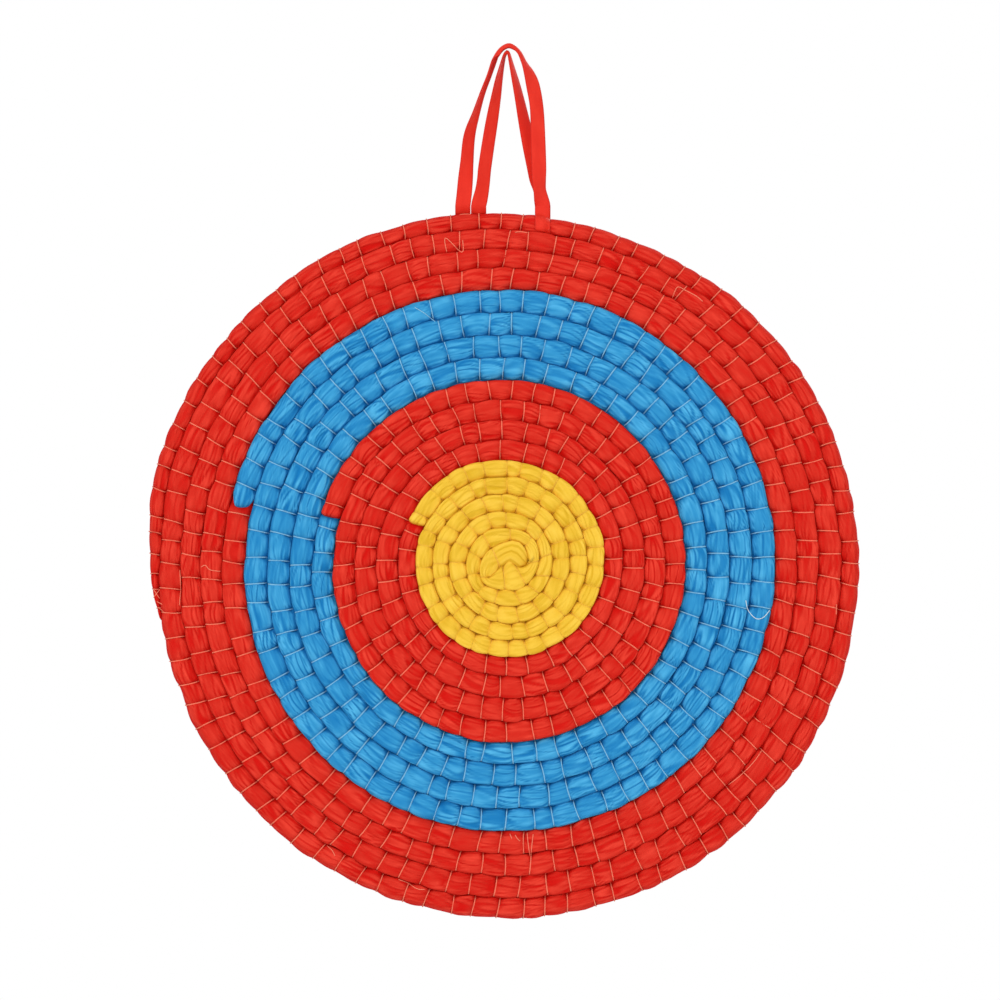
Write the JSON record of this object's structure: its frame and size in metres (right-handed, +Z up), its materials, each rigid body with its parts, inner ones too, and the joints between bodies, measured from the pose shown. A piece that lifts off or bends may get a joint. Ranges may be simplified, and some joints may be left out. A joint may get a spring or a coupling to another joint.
{
  "type": "archery target boss",
  "caption": "Round hanging archery target boss: a cloth-wrapped straw rope wound into a flat sewn spiral in coloured bands, with ribbon loops at its top.",
  "frame": {"origin": "the point that the ribbon loops hang from, under the top of the inner loop, in the middle of the boss's thickness", "axes": "+Z up as it hangs, -Y is the way the coloured face looks, +X to the right of someone who looks at the face"},
  "size_m": [0.3983, 0.0218, 0.4898],
  "materials": {
    "straw": "matte",
    "gold_cloth": "matte",
    "red_cloth": "matte",
    "blue_cloth": "matte",
    "ribbon": "satin",
    "thread": "matte"
  },
  "bodies": {
    "hanger": {"outer_hanging_loop": "ribbon", "inner_hanging_loop": "ribbon"},
    "boss": {"straw_core": "straw", "gold_wrap": "gold_cloth", "inner_red_wrap": "red_cloth", "blue_wrap": "blue_cloth", "outer_red_wrap": "red_cloth", "outer_loop_left_end": "ribbon", "inner_loop_left_end": "ribbon", "outer_loop_right_end": "ribbon", "inner_loop_right_end": "ribbon"}
  },
  "joints": [
    {"name": "ribbon_fold", "type": "hinge", "parent": "hanger", "child": "boss", "pos_m": [0, 0, -0.0859], "axis": [1, 0, 0], "range_deg": [-90, 90]}
  ]
}
